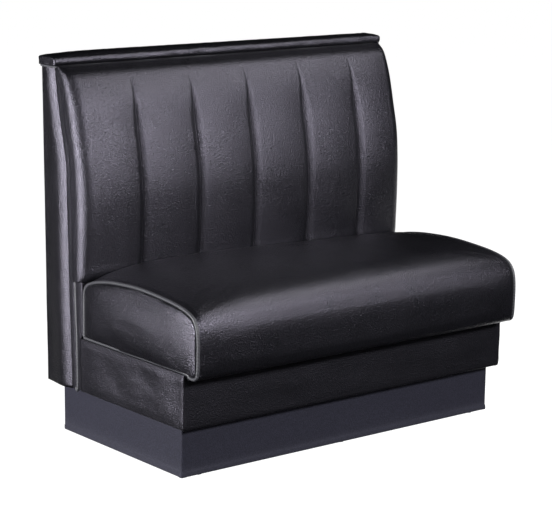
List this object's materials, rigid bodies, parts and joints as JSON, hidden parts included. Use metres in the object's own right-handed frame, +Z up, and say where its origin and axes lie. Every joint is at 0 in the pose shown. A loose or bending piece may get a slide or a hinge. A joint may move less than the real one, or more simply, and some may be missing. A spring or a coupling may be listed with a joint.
{
  "type": "restaurant booth seating",
  "caption": "Upholstered restaurant booth with a fluted padded back under a flat cap rail, a crowned loose seat, a seat box and a set-back plinth.",
  "frame": {"origin": "on the floor, under the middle of the booth's overall width and depth", "axes": "+X from left to right as a sitter's table side sees it, +Y from the seat's front towards the outside back, +Z up"},
  "size_m": [1.184, 0.7212, 1.067],
  "materials": {
    "plywood": "satin",
    "black_vinyl": "satin",
    "slate_vinyl": "matte",
    "welt_vinyl": "satin",
    "foam": "matte",
    "felt": "matte",
    "zinc_steel": "satin",
    "nylon": "matte"
  },
  "bodies": {
    "booth": {"plinth_front_board": "plywood", "plinth_rear_board": "plywood", "plinth_left_board": "plywood", "plinth_right_board": "plywood", "plinth_braces": "plywood", "plinth_corner_blocks": "plywood", "seat_box_floor": "plywood", "seat_box_front_board": "plywood", "seat_box_rear_rail": "plywood", "seat_box_left_board": "plywood", "seat_box_right_board": "plywood", "seat_box_braces": "plywood", "seat_box_corner_blocks": "plywood", "back_bottom_board": "plywood", "back_left_stile": "plywood", "back_right_stile": "plywood", "back_ribs": "plywood", "back_lumbar_rail": "plywood", "back_top_rail": "plywood", "back_bolting_rail": "plywood", "back_inner_panel": "plywood", "back_outer_panel": "plywood", "cap_board": "plywood", "seat_box_cover": "black_vinyl", "back_outer_cover": "black_vinyl", "back_left_side_cover": "black_vinyl", "back_right_side_cover": "black_vinyl", "back_gussets": "black_vinyl", "back_lower_cover": "black_vinyl", "back_channel_cover": "black_vinyl", "cap_cover": "black_vinyl", "plinth_cover": "slate_vinyl", "back_left_welt": "welt_vinyl", "back_right_welt": "welt_vinyl", "cap_welt": "welt_vinyl", "back_lower_padding": "foam", "back_pad_foam": "foam", "cap_padding": "foam", "back_bolts": "zinc_steel", "back_tee_nuts": "zinc_steel", "frame_screws": "zinc_steel", "floor_glides": "nylon"},
    "seat": {"seat_front_rail": "plywood", "seat_rear_rail": "plywood", "seat_left_rail": "plywood", "seat_right_rail": "plywood", "seat_stretchers": "plywood", "seat_springs": "zinc_steel", "seat_spring_clips": "zinc_steel", "seat_insulator": "felt", "seat_firm_foam": "foam", "seat_soft_foam": "foam", "seat_front_edge_roll": "foam", "seat_top_cover": "black_vinyl", "seat_dust_cover": "felt", "seat_left_end_panel": "black_vinyl", "seat_right_end_panel": "black_vinyl", "seat_left_welt": "welt_vinyl", "seat_right_welt": "welt_vinyl", "seat_frame_screws": "zinc_steel"}
  },
  "joints": [
    {"name": "seat_slide", "type": "slide", "parent": "booth", "child": "seat", "axis": [0, -1, 0], "range_m": [0, 0.57]}
  ]
}
